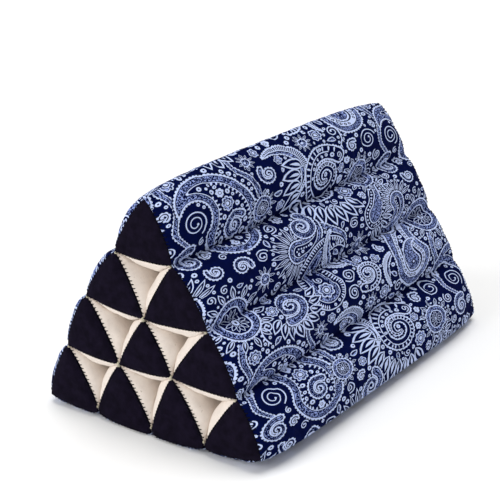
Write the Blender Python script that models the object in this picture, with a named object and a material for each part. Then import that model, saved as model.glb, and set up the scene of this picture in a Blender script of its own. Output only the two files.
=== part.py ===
"""Triangle cushion: ten stuffed cotton tubes sewn together in four rows, with a printed cover on the three
long sides, dark triangles closing the tube ends, and open pockets between the tubes.

Metres, +Z up. X runs along the tubes, and the origin is on the surface the cushion rests on, under its middle.
"""

import math

import bmesh
import bpy
from mathutils import Vector

# The stuffed form
LENGTH = 0.500  # between the seams that close the two ends
PITCH = 0.0805  # from seam to seam along a row
ROW_RISE = 0.0675  # height of one row
ROWS = 4
SEAM_LIFT = 0.012  # the lowest seams above the surface, which the base lobes rest on
END_CROWN = 0.005  # how far a tube's stuffed end stands past its seam

# The cloth
COVER_THICKNESS = 0.0015
END_THICKNESS = 0.0015
CLOTH_GAP = 0.0004  # between a tube and the cloth that lies on it
WALL_GAP = 0.0002  # from a pocket wall to the middle line that it shares with its neighbour
RIDGE_GAP = 0.0002  # from a cover panel's edge to the corner where it meets the next panel

# How far a side swells past the straight line between its seams: at an end seam, well inside,
# and the depth over which it gets there from the near end and from the far end
POCKET_SWELL = {"at_end": 0.002, "inside": 0.0190, "near_depth": 0.007, "far_depth": 0.012}
COVER_SWELL = {"at_end": 0.005, "inside": 0.0160, "near_depth": 0.0060, "far_depth": 0.030}
BASE_SWELL = {"at_end": 0.0035, "inside": 0.0080, "near_depth": 0.0045, "far_depth": 0.020}
RIDGE_SWELL = {"at_end": -0.002, "inside": 0.0095, "near_depth": 0.045, "far_depth": 0.060}
CORNER_SWELL = {"at_end": -0.007, "inside": 0.0040, "near_depth": 0.030, "far_depth": 0.040}
BASE_TUCK = 0.0065  # how far below the lowest seams the base lobes press on each other
FULLNESS = 2.8  # 2 gives a side an even arc, and more a flatter middle with steeper seams
PLUMPNESS_SPREAD = 0.06  # how much one tube's swelling differs from another's

# The three long edges of the cushion, which are drawn in at the ends: way out (y, z), and form
CORNERS = {
    (0, 0): ((0, 1), RIDGE_SWELL),
    (ROWS, 0): ((1, 0), CORNER_SWELL),
    (ROWS, ROWS): ((-1, 0), CORNER_SWELL),
}

# Where the near end's seams lie off the even grid, in millimetres: to the left side, up
SEAM_SHIFT_MM = {
    (0, 0): (-6, 1),
    (1, 0): (-1, -1),
    (1, 1): (0, -1),
    (2, 0): (5, 4),
    (2, 1): (2, -5),
    (2, 2): (-5, 2),
    (3, 0): (-2, 2),
    (3, 1): (1, -2),
    (3, 2): (6, 2),
    (3, 3): (-2, 1),
    (4, 0): (-3, -3),
    (4, 1): (-4, 0),
    (4, 2): (-3, -3),
    (4, 3): (3, 2),
    (4, 4): (1, 5),
}
FAR_END_SHIFT = -0.4  # the far end's shifts, as a share of the near end's

# How finely the forms are divided
SIDE_SHARES = (0.0, 0.08, 0.25, 0.5, 0.75, 0.92)  # of the way along one side of a tube's section
DEPTHS = (0.0, 0.004, 0.008, 0.015, 0.035, 0.110)  # of the sections, from either end seam
CAP_SIZES = (1.0, 0.55)  # of the rings on a stuffed end, before its middle point

COLORS = {
    "printed_cotton": (0.055, 0.075, 0.230),
    "dark_cotton": (0.010, 0.009, 0.022),
    "cream_cotton": (0.760, 0.690, 0.590),
}

# Each long side of the cushion: the seams along it, from one corner to the next
SIDES = {
    "cover_left": [(row, 0) for row in range(ROWS + 1)],
    "cover_base": [(ROWS, index) for index in range(ROWS + 1)],
    "cover_right": [(row, row) for row in range(ROWS, -1, -1)],
}


def clear_scene():
    for item in list(bpy.data.objects):
        bpy.data.objects.remove(item, do_unlink=True)


def cotton(name):
    material = bpy.data.materials.new(name)
    material.use_nodes = True
    shader = material.node_tree.nodes["Principled BSDF"]
    shader.inputs["Base Color"].default_value = (*COLORS[name], 1.0)
    shader.inputs["Roughness"].default_value = 0.9
    shader.inputs["Metallic"].default_value = 0.0
    return material


def swell(form, x):
    """How far a side stands out at x: little at the end seams, and soon nearly its full amount."""
    near = math.exp(-(x + LENGTH / 2) / form["near_depth"])
    far = math.exp(-(LENGTH / 2 - x) / form["far_depth"])
    return form["inside"] + (form["at_end"] - form["inside"]) * min(1.0, near + far)


def seam(row, index, x):
    """(y, z) of a long seam at one section. Row 0 is the ridge, and index 0 is the seam on the left side."""
    along = x / LENGTH + 0.5
    shift = 1 - along + along * FAR_END_SHIFT
    side_mm, up_mm = SEAM_SHIFT_MM[(row, index)]
    y = (row / 2 - index) * PITCH + side_mm * shift / 1000
    z = SEAM_LIFT + (ROWS - row) * ROW_RISE + up_mm * shift / 1000
    if (row, index) in CORNERS:
        way, form = CORNERS[(row, index)]
        out = swell(form, x)
        y += way[0] * out
        z += way[1] * out
    return Vector((y, z))


def base_seam(index, x):
    """Where the base cloth dips between two lobes, below the seam itself. The cushion's corners have no dip."""
    point = seam(ROWS, index, x)
    if 0 < index < ROWS:
        point.y -= BASE_TUCK
    return point


def plumpness(row, column):
    return 1 + PLUMPNESS_SPREAD * math.sin(2.7 * row + 4.1 * column)


def outward(start, end):
    """Unit normal of a side. Every outline runs down the left, along the base and up the right."""
    way = (end - start).normalized()
    return Vector((-way.y, way.x))


def crossing(corner, normal_a, inset_a, normal_b, inset_b):
    """The corner that two sides share, after each is moved inwards by its own amount."""
    cross = normal_a.x * normal_b.y - normal_a.y * normal_b.x
    if abs(cross) < 0.2:
        return corner - normal_a * inset_a / 2 - normal_b * inset_b / 2
    dy = (-inset_a * normal_b.y + inset_b * normal_a.y) / cross
    dz = (-inset_b * normal_a.x + inset_a * normal_b.x) / cross
    return corner + Vector((dy, dz))


def side_points(start, end, height, limit, first_share=0.0):
    """Points along one swollen side, from start up to but not including end."""
    normal = outward(start, end)
    points = []
    for share in (max(first_share, share) for share in SIDE_SHARES):
        profile = 1 - abs(2 * share - 1) ** FULLNESS
        points.append(start.lerp(end, share) + normal * min(height * profile, limit(share)))
    return points


def no_limit(share):
    return math.inf


def floor_limit(start, end, cloth):
    """Keeps a base side above the surface, with room for the cloth under it."""
    return lambda share: start.lerp(end, share).y - cloth


def pocket_limit(start, end, pocket):
    """How far a pocket wall can stand out before it meets the wall beside it."""
    length = (end - start).length
    rise_at_start = math.tan((end - start).angle(pocket - start) / 2)
    rise_at_end = math.tan((start - end).angle(pocket - end) / 2)
    return lambda share: length * min(share * rise_at_start, (1 - share) * rise_at_end) - WALL_GAP


def tube_section(row, column, x):
    """A tube's outline at x, as (y, z) points."""
    corners = (seam(row - 1, column, x), seam(row, column, x), seam(row, column + 1, x))
    # The far corner of the pocket beside each side, or None where the side is on the cushion's outside
    pockets = (
        None if column == 0 else seam(row - 1, column - 1, x),
        None if row == ROWS else seam(row + 1, column + 1, x),
        None if column == row - 1 else seam(row - 1, column + 1, x),
    )
    cloth = COVER_THICKNESS + CLOTH_GAP
    insets = [cloth if pocket is None else WALL_GAP for pocket in pockets]
    normals = [outward(corners[k], corners[(k + 1) % 3]) for k in range(3)]
    inner = [crossing(corners[k], normals[k - 1], insets[k - 1], normals[k], insets[k]) for k in range(3)]
    plump = plumpness(row, column)
    outline = []
    for k, pocket in enumerate(pockets):
        start, end = inner[k], inner[(k + 1) % 3]
        if pocket is not None:
            limit = pocket_limit(corners[k], corners[(k + 1) % 3], pocket)
            outline += side_points(start, end, swell(POCKET_SWELL, x) * plump, limit)
        elif k == 1:
            outline += underside(column, x, start, end, cloth)
        else:
            outline += side_points(start, end, swell(COVER_SWELL, x) * plump, no_limit)
    return outline


def underside(column, x, start, end, cloth):
    """A base tube's lobe, with the short wall at either side of it that presses on the next tube."""
    left, right = base_seam(column, x), base_seam(column + 1, x)
    outline = []
    if column > 0:
        outline.append(start)
        start = left + Vector((-WALL_GAP, cloth))
    tucked_right = column < ROWS - 1
    last = end
    if tucked_right:
        last = right + Vector((WALL_GAP, cloth))
    height = swell(BASE_SWELL, x) * plumpness(ROWS, column)
    outline += side_points(start, last, height, floor_limit(start, last, cloth))
    if tucked_right:
        outline.append(last)
    return outline


def tubes_under(side):
    """The tubes that a cover panel lies on, in the order of its seams."""
    if side == "cover_left":
        return [(row, 0) for row in range(1, ROWS + 1)]
    if side == "cover_base":
        return [(ROWS, column) for column in range(ROWS)]
    return [(row, row - 1) for row in range(ROWS, 0, -1)]


def cover_section(side, x, inset):
    """A cover panel's outline at x, moved inwards by inset: one swollen lobe after another between its seams."""
    names = list(SIDES)
    place = names.index(side)
    before, after = SIDES[names[place - 1]], SIDES[names[(place + 1) % 3]]
    on_base = side == "cover_base"
    if on_base:
        middle = [base_seam(index, x) for index in range(ROWS + 1)]
    else:
        middle = [seam(row, index, x) for row, index in SIDES[side]]
    seams = [seam(*before[-2], x), *middle, seam(*after[1], x)]
    normals = [outward(a, b) for a, b in zip(seams, seams[1:])]
    ends = [crossing(seams[k + 1], normals[k], inset, normals[k + 1], inset) for k in range(len(normals) - 1)]
    form = BASE_SWELL if on_base else COVER_SWELL
    outline = []
    for k, (row, column) in enumerate(tubes_under(side)):
        start, end = ends[k], ends[k + 1]
        limit = floor_limit(start, end, inset) if on_base else no_limit
        first_share = RIDGE_GAP / (end - start).length if k == 0 else 0.0
        outline += side_points(start, end, swell(form, x) * plumpness(row, column), limit, first_share)
    last_side = ends[-2] - ends[-1]
    outline.append(ends[-1] + last_side.normalized() * RIDGE_GAP)
    return outline


def stations():
    """The places of the sections along X, closer together near the ends."""
    near = [-LENGTH / 2 + depth for depth in DEPTHS]
    return near + [0.0] + [-x for x in reversed(near)]


def add_ring(mesh, outline, x):
    return [mesh.verts.new((x, point.x, point.y)) for point in outline]


def skin_rings(mesh, rings):
    """Joins closed rings of vertices with faces."""
    for ring, following in zip(rings, rings[1:]):
        count = len(ring)
        for k in range(count):
            mesh.faces.new((ring[k], ring[(k + 1) % count], following[(k + 1) % count], following[k]))


def crowned_rings(mesh, outline, x, out):
    """Rings of a crowned end, from its rim to its middle vertex. out is +1 or -1, the way the end faces."""
    middle = sum(outline, Vector((0.0, 0.0))) / len(outline)
    rings = []
    for size in CAP_SIZES:
        shrunk = [middle.lerp(point, size) for point in outline]
        rings.append(add_ring(mesh, shrunk, x + out * END_CROWN * (1 - size * size)))
    tip = mesh.verts.new((x + out * END_CROWN, middle.x, middle.y))
    return rings, tip


def close_fan(mesh, ring, tip):
    for k in range(len(ring)):
        mesh.faces.new((ring[k], ring[(k + 1) % len(ring)], tip))


def finish_object(name, mesh, material):
    """Turns a bmesh into a named object with its faces pointing out. Neighbours' faces are split the same way."""
    bmesh.ops.recalc_face_normals(mesh, faces=mesh.faces)
    bmesh.ops.triangulate(mesh, faces=mesh.faces, quad_method="SHORT_EDGE")
    data = bpy.data.meshes.new(name)
    mesh.to_mesh(data)
    mesh.free()
    data.materials.append(material)
    data.shade_smooth()
    data.set_sharp_from_angle(angle=math.radians(50))
    item = bpy.data.objects.new(name, data)
    parts.objects.link(item)
    return item


def tube(row, column, material):
    """One stuffed tube: three-cornered at its ends, and swollen into the pockets further in."""
    mesh = bmesh.new()
    reach = LENGTH / 2 - END_THICKNESS - CLOTH_GAP
    rings = [add_ring(mesh, tube_section(row, column, x), x) for x in stations()[1:-1]]
    near_rings, near_tip = crowned_rings(mesh, tube_section(row, column, -LENGTH / 2), -reach, -1)
    far_rings, far_tip = crowned_rings(mesh, tube_section(row, column, LENGTH / 2), reach, 1)
    skin_rings(mesh, near_rings[::-1] + rings + far_rings)
    close_fan(mesh, near_rings[-1], near_tip)
    close_fan(mesh, far_rings[-1], far_tip)
    return finish_object(f"tube_{row}_{column + 1}", mesh, material)


def end_triangle(row, column, end, out, material):
    """The dark cloth that closes one end of a tube, over its crown."""
    mesh = bmesh.new()
    outline = tube_section(row, column, out * LENGTH / 2)
    outer_rings, outer_tip = crowned_rings(mesh, outline, out * LENGTH / 2, out)
    inner_rings, inner_tip = crowned_rings(mesh, outline, out * (LENGTH / 2 - END_THICKNESS), out)
    skin_rings(mesh, outer_rings[::-1] + inner_rings)
    close_fan(mesh, outer_rings[-1], outer_tip)
    close_fan(mesh, inner_rings[-1], inner_tip)
    return finish_object(f"{end}_triangle_{row}_{column + 1}", mesh, material)


def cover_panel(side, material):
    """A printed panel on one long side: a sheet that dips at every seam."""
    mesh = bmesh.new()
    rings = []
    for x in stations():
        outer = cover_section(side, x, 0.0)
        inner = cover_section(side, x, COVER_THICKNESS)
        rings.append(add_ring(mesh, outer + inner[::-1], x))
    skin_rings(mesh, rings)
    for ring in (rings[0], rings[-1]):
        count = len(ring)
        for k in range(count // 2 - 1):
            mesh.faces.new((ring[k], ring[k + 1], ring[count - 2 - k], ring[count - 1 - k]))
    return finish_object(side, mesh, material)


clear_scene()
parts = bpy.data.collections.new("triangle_cushion")
bpy.context.scene.collection.children.link(parts)
printed, dark, cream = (cotton(name) for name in COLORS)

for tube_row in range(1, ROWS + 1):
    for tube_column in range(tube_row):
        tube(tube_row, tube_column, cream)
        end_triangle(tube_row, tube_column, "near", -1, dark)
        end_triangle(tube_row, tube_column, "far", 1, dark)

for side_name in SIDES:
    cover_panel(side_name, printed)
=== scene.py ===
"""Looks of the triangle cushion: puckered printed cover, calico tubes, dark end triangles, whip stitches."""

import math
import random

import bpy
import numpy as np
from mathutils import Matrix, Vector
from mathutils.geometry import delaunay_2d_cdt


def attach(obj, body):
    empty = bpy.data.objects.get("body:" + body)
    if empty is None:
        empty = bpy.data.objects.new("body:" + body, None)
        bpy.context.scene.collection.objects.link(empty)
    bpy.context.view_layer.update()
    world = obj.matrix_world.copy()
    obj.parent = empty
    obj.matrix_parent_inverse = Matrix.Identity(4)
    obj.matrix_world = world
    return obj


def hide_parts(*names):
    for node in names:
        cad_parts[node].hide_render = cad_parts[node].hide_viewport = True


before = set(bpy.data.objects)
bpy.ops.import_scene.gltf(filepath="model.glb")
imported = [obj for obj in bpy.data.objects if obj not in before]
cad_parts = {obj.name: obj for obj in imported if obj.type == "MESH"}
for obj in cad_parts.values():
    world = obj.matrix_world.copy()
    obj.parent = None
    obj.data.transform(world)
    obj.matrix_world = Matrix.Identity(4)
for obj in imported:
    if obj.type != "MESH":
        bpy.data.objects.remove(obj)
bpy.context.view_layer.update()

# The stuffed form, as in the CAD source, in metres
LENGTH = 0.500
PITCH = 0.0805
ROW_RISE = 0.0675
ROWS = 4
SEAM_LIFT = 0.012
END_CROWN = 0.005
BASE_TUCK = 0.0065
FULLNESS = 2.8
PLUMPNESS_SPREAD = 0.06
FAR_END_SHIFT = -0.4
POCKET_SWELL = {"at_end": 0.002, "inside": 0.0172, "near_depth": 0.0065, "far_depth": 0.010}
COVER_SWELL = {"at_end": 0.005, "inside": 0.0135, "near_depth": 0.0060, "far_depth": 0.030}
BASE_SWELL = {"at_end": 0.0035, "inside": 0.0080, "near_depth": 0.0045, "far_depth": 0.020}
RIDGE_SWELL = {"at_end": -0.002, "inside": 0.0095, "near_depth": 0.045, "far_depth": 0.060}
CORNER_SWELL = {"at_end": -0.007, "inside": 0.0040, "near_depth": 0.030, "far_depth": 0.040}
CREASE_DEPTH = 0.0055
CREASE_WIDTH = 0.0030
CREASE_RUN = 0.014
CORNERS = {
    (0, 0): ((0, 1), RIDGE_SWELL),
    (ROWS, 0): ((1, 0), CORNER_SWELL),
    (ROWS, ROWS): ((-1, 0), CORNER_SWELL),
}
# How far each seam lies from its even place, across and up in millimetres, by row and place in it
SEAM_SHIFT_MM = (
    ((-6, 1),),
    ((-1, -1), (0, -1)),
    ((5, 4), (2, -5), (-5, 2)),
    ((-2, 2), (1, -2), (6, 2), (-2, 1)),
    ((-3, -3), (-4, 0), (-3, -3), (3, 2), (1, 5)),
)

# The camera, fitted to the photograph
CAMERA_TARGET = Vector((0.0895, 0.1026, 0.0965))
CAMERA_AZIMUTH = math.radians(-54.2841)
CAMERA_ELEVATION = math.radians(20.4827)
CAMERA_ROLL = math.radians(-0.5878)
CAMERA_DISTANCE = 1.7229
CAMERA_LENS = 92.23


# Form

def swell(form, x):
    near = np.exp(-(x + LENGTH / 2) / form["near_depth"])
    far = np.exp(-(LENGTH / 2 - x) / form["far_depth"])
    return form["inside"] + (form["at_end"] - form["inside"]) * np.minimum(1.0, near + far)


def seam(row, index, x):
    """(y, z) of a long seam at each x."""
    along = x / LENGTH + 0.5
    shift = (1 - along + along * FAR_END_SHIFT) / 1000
    side_mm, up_mm = SEAM_SHIFT_MM[row][index]
    y = (row / 2 - index) * PITCH + side_mm * shift
    z = SEAM_LIFT + (ROWS - row) * ROW_RISE + up_mm * shift
    if (row, index) in CORNERS:
        way, form = CORNERS[(row, index)]
        out = swell(form, x)
        y = y + way[0] * out
        z = z + way[1] * out
    return np.stack([y, z], -1)


def base_seam(index, x):
    point = seam(ROWS, index, x)
    if 0 < index < ROWS:
        point[..., 1] -= BASE_TUCK
    return point


def crease_depth(x):
    """How far the cover's seams are drawn in below the rolls, which starts a little way in from the ends."""
    return CREASE_DEPTH * (1 - np.exp(-(LENGTH / 2 - np.abs(x)) / CREASE_RUN))


def crease_way(row, index):
    """The outward direction (y, z) at a seam of the cover that is drawn in, or None at other seams."""
    if 0 < row < ROWS and index in (0, row):
        side = 1 if index == 0 else -1
        return np.array([side * math.cos(math.radians(30)), math.sin(math.radians(30))])
    if row == ROWS and 0 < index < ROWS:
        return np.array([0.0, -1.0])
    return None


def plumpness(row, column):
    return 1 + PLUMPNESS_SPREAD * math.sin(2.7 * row + 4.1 * column)


def side_normal(start, end):
    way = end - start
    way = way / np.linalg.norm(way, axis=-1, keepdims=True)
    return np.stack([-way[..., 1], way[..., 0]], -1)


def end_distance(x):
    return LENGTH / 2 - np.abs(x)


def mesh_object(name, points, faces, materials):
    mesh = bpy.data.meshes.new(name)
    mesh.from_pydata([tuple(p) for p in points], [], [tuple(f) for f in faces])
    for material in materials:
        mesh.materials.append(material)
    mesh.shade_smooth()
    item = bpy.data.objects.new(name, mesh)
    bpy.context.scene.collection.objects.link(item)
    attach(item, "root")
    return item


def grid_faces(rows, columns, closed=False):
    index = np.arange(rows * columns).reshape(rows, columns)
    a, b = index[:-1], index[1:]
    if closed:
        quads = np.stack([a, b, np.roll(b, -1, 1), np.roll(a, -1, 1)], -1)
    else:
        quads = np.stack([a[:, :-1], b[:, :-1], b[:, 1:], a[:, 1:]], -1)
    return quads.reshape(-1, 4)


def smooth_noise(points, seed, size):
    """A smooth random number between about -1 and 1 at each point: a few waves in fixed random directions."""
    chance = np.random.default_rng(seed)
    total = np.zeros(len(points))
    for _ in range(7):
        way = chance.normal(size=3)
        way /= np.linalg.norm(way)
        wave = size * chance.uniform(0.7, 1.5)
        total += np.sin(points @ way * math.tau / wave + chance.uniform(0, math.tau))
    return total / 3.0


def curve_weights(t):
    """The weights of four even points in a row, on a smooth curve at share t between the middle two."""
    return (
        -0.5 * t + t * t - 0.5 * t**3,
        1 - 2.5 * t * t + 1.5 * t**3,
        0.5 * t + 2 * t * t - 1.5 * t**3,
        -0.5 * t * t + 0.5 * t**3,
    )


# Printed cover

LOBE_STEPS = 20
LOBE_FLAT_MM = 90.0  # the cloth's width over one lobe, along which the print is laid
FILLING_MOVE = 0.010  # the furthest that the filling moves any point
FILLING_FRAMES = 16
FILLING = {
    "quality": 4,
    "mass": 0.25,
    "tension_stiffness": 12,
    "compression_stiffness": 12,
    "shear_stiffness": 4,
    "bending_stiffness": 0.25,
    "tension_damping": 8,
    "compression_damping": 8,
    "shear_damping": 8,
    "use_pressure": True,
    "uniform_pressure_force": 12,
    "vertex_group_mass": "held",
    "shrink_min": -0.02,
}
end_depths = np.array([0.0, 0.0015, 0.0035, 0.006])
COVER_X = np.concatenate([-0.25 + end_depths, np.linspace(-0.2405, 0.2405, 117), 0.25 - end_depths[::-1]])
turned = (1 - np.cos(np.linspace(0, math.pi, LOBE_STEPS + 1))) / 2
COVER_SHARES = (0.7 * turned + 0.3 * np.linspace(0, 1, LOBE_STEPS + 1))[:-1]


def cover_lobes():
    """The cover's lobes around from the ridge: each one's two seams, swell and plumpness."""
    left = [((row - 1, 0), (row, 0), COVER_SWELL, plumpness(row, 0)) for row in range(1, ROWS + 1)]
    base = [((ROWS, k), (ROWS, k + 1), BASE_SWELL, plumpness(ROWS, k)) for k in range(ROWS)]
    right = [
        ((row, row), (row - 1, row - 1), COVER_SWELL, plumpness(row, row - 1)) for row in range(ROWS, 0, -1)
    ]
    return left + base + right


def cover_form():
    """The cover as one ring of cloth, before it is filled. Each lobe's first column is its seam."""
    x = COVER_X
    columns = []
    for first, last, form, plump in cover_lobes():
        on_base = form is BASE_SWELL
        start, end = (base_seam(seam_at[1], x) if on_base else seam(*seam_at, x) for seam_at in (first, last))
        length = np.linalg.norm(end - start, axis=1)
        normal = side_normal(start, end)
        height = swell(form, x) * plump
        for share in COVER_SHARES:
            line = start + (end - start) * share
            rise = height * (1 - abs(2 * share - 1) ** FULLNESS)
            if on_base:
                rise = np.minimum(rise, line[:, 1])
            point = line + normal * rise[:, None]
            for seam_at, distance in ((first, share * length), (last, (1 - share) * length)):
                way = crease_way(*seam_at)
                if way is not None:
                    point = point - way * (crease_depth(x) * np.exp(-distance / CREASE_WIDTH))[:, None]
            columns.append(point)
    return np.concatenate([np.repeat(x[:, None, None], len(columns), 1), np.stack(columns, 1)], -1)


def fill_cover(points):
    """Fills the cover with air, held at its seams, so that it crowns and puckers as sewn cloth does."""
    rows, columns = points.shape[:2]
    item = mesh_object("cover_form", points.reshape(-1, 3), grid_faces(rows, columns, True), [])
    held = np.zeros((rows, columns), bool)
    held[:, ::LOBE_STEPS] = held[0] = held[-1] = True
    item.vertex_groups.new(name="held").add(np.flatnonzero(held).tolist(), 1.0, "REPLACE")
    cloth = item.modifiers.new("filling", "CLOTH")
    for name, value in FILLING.items():
        setattr(cloth.settings, name, value)
    cloth.settings.effector_weights.gravity = 0
    cloth.collision_settings.use_collision = False
    cloth.collision_settings.use_self_collision = False
    for moment in range(1, FILLING_FRAMES + 1):
        bpy.context.scene.frame_set(moment)
    filled = item.evaluated_get(bpy.context.evaluated_depsgraph_get()).to_mesh()
    found = np.empty(points.size)
    filled.vertices.foreach_get("co", found)
    bpy.data.objects.remove(item, do_unlink=True)
    bpy.context.scene.frame_set(1)
    return found.reshape(points.shape)


def cover_grid():
    form = cover_form()
    move = fill_cover(form) - form
    size = np.linalg.norm(move, axis=-1, keepdims=True)
    grid = form + move * np.minimum(1.0, FILLING_MOVE / np.maximum(size, 1e-9))
    grid[..., 2] = np.maximum(grid[..., 2], 0.0)
    return grid


def near_rows(position, count, closed):
    """The four rows about each fractional position, and their weights on a smooth curve."""
    base = np.floor(position).astype(int)
    if not closed:
        base = np.clip(base, 0, count - 2)
    picks = [base + k for k in (-1, 0, 1, 2)]
    picks = [k % count if closed else np.clip(k, 0, count - 1) for k in picks]
    return picks, curve_weights(position - base)


def sample_cover(grid, u, v):
    """Points of the cover where the print's flat place is u along X in metres and v around in lobes."""
    rows, columns = grid.shape[:2]
    lobe = np.floor(v)
    steps = np.interp(v - lobe, np.append(COVER_SHARES, 1.0), np.arange(LOBE_STEPS + 1))
    row_picks, row_weights = near_rows(np.interp(u, COVER_X, np.arange(rows)), rows, False)
    column_picks, column_weights = near_rows(lobe * LOBE_STEPS + steps, columns, True)
    total = np.zeros((len(u), 3))
    for i in range(4):
        for j in range(4):
            total += grid[row_picks[i], column_picks[j]] * (row_weights[i] * column_weights[j])[:, None]
    return total


def cover_normals(grid, u, v):
    du, dv = 0.0006, 0.008
    ahead, behind = np.minimum(u + du, LENGTH / 2), np.maximum(u - du, -LENGTH / 2)
    along = sample_cover(grid, ahead, v) - sample_cover(grid, behind, v)
    around = sample_cover(grid, u, v + dv) - sample_cover(grid, u, v - dv)
    normal = np.cross(along, around)
    return normal / np.maximum(np.linalg.norm(normal, axis=1, keepdims=True), 1e-12)


# Print

GROUND, MID, LIGHT = 0, 1, 2
REPEAT = (250.0, 180.0)
PRINT_SCALE = (1.7, 1.3)  # how much larger than drawn the motifs are printed, along and around the cushion
FILLER_SEED = 7
FILLERS_AT_MOST = 400
FILLER_REACH = 14
BOTEH_TAPER = 0.9  # 1 gives a straight-sided tail, and less a fuller one
CRESCENT_WIDE = 6.4
# Of each layer: colour, root, length, width, steps and lean
PETAL_LAYERS = ((LIGHT, 0, 1, 1, 6, 1), (GROUND, 0.06, 0.82, 0.72, 5, 0.9), (LIGHT, 0.08, 0.56, 0.26, 4, 0.6))
LEAF_LAYERS = ((LIGHT, 0, 1, 1, 7, 1), (MID, 0.08, 0.80, 0.66, 6, 0.95), (GROUND, 0.16, 0.56, 0.20, 4, 0.8))


def polar(x, y, radius, angle):
    return x + radius * math.cos(angle), y + radius * math.sin(angle)


def circle(x, y, radius, count=14):
    return [polar(x, y, radius, math.tau * k / count) for k in range(count)]


def discs(size, *rows):
    """Rounds on one middle: the colour, radius as a share of size, and number of corners of each."""
    return [(color, circle(0, 0, size * share, count)) for color, share, count in rows]


def ring_of_dots(color, count, distance, radius, corners=6, turn=0.0):
    places = [polar(0, 0, distance, turn + math.tau * k / count) for k in range(count)]
    return [(color, circle(x, y, radius, corners)) for x, y in places]


def lumpy(radius, lumps, depth, turn):
    """A round outline with lumps, as of a small flower."""
    steps = 4
    count = lumps * steps
    return [
        polar(0, 0, radius + depth * abs(math.sin(math.pi * k / steps)), turn + math.tau * k / count)
        for k in range(count)
    ]


def petal(x, y, angle, start, length, width, steps=6, lean=0.0):
    """A pointed petal that grows from (x, y), from distance start on."""

    def edge(k, side):
        t = k / steps
        way = angle + lean * t * t
        middle = polar(x, y, start + length * t, way)
        half = 0.5 * width * math.sin(math.pi * t**0.85) ** 0.9
        return polar(*middle, half, way + side * math.pi / 2)

    points = [polar(x, y, start, angle)] + [edge(k, -1) for k in range(1, steps)]
    points.append(polar(x, y, start + length, angle + lean))
    return points + [edge(k, 1) for k in range(steps - 1, 0, -1)]


def stroke(path, width, tip=1.0):
    """A line of some width along a path. tip is the width at its far end, as a share."""
    left, right = [], []
    for k, (x, y) in enumerate(path):
        ax, ay = path[max(0, k - 1)]
        bx, by = path[min(len(path) - 1, k + 1)]
        length = math.hypot(bx - ax, by - ay) or 1.0
        half = 0.5 * width * (1 + (tip - 1) * k / (len(path) - 1))
        nx, ny = -(by - ay) / length * half, (bx - ax) / length * half
        left.append((x + nx, y + ny))
        right.append((x - nx, y - ny))
    return left + right[::-1]


def spiral(x, y, outer, inner, start, turns, steps):
    """A path that winds in towards (x, y)."""
    shares = [k / steps for k in range(steps + 1)]
    return [polar(x, y, outer + (inner - outer) * t**0.8, start + math.tau * turns * t) for t in shares]


def scalloped(points, pitch, depth):
    """A closed outline, run the way whose left is inside, with small round bumps standing out of it."""
    steps = 3
    loop = points + points[:1]
    lengths = [math.dist(a, b) for a, b in zip(loop, loop[1:])]
    total = sum(lengths)
    marks = max(3, round(total / pitch)) * steps
    found, k, gone = [], 0, 0.0
    for m in range(marks):
        at = total * m / marks
        while gone + lengths[k] < at:
            gone += lengths[k]
            k += 1
        (ax, ay), (bx, by) = loop[k], loop[k + 1]
        length = lengths[k] or 1.0
        along = (at - gone) / length
        out = depth * math.sin(math.pi * (m % steps) / steps) / length
        found.append((ax + (bx - ax) * along + (by - ay) * out, ay + (by - ay) * along - (bx - ax) * out))
    return found


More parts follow.
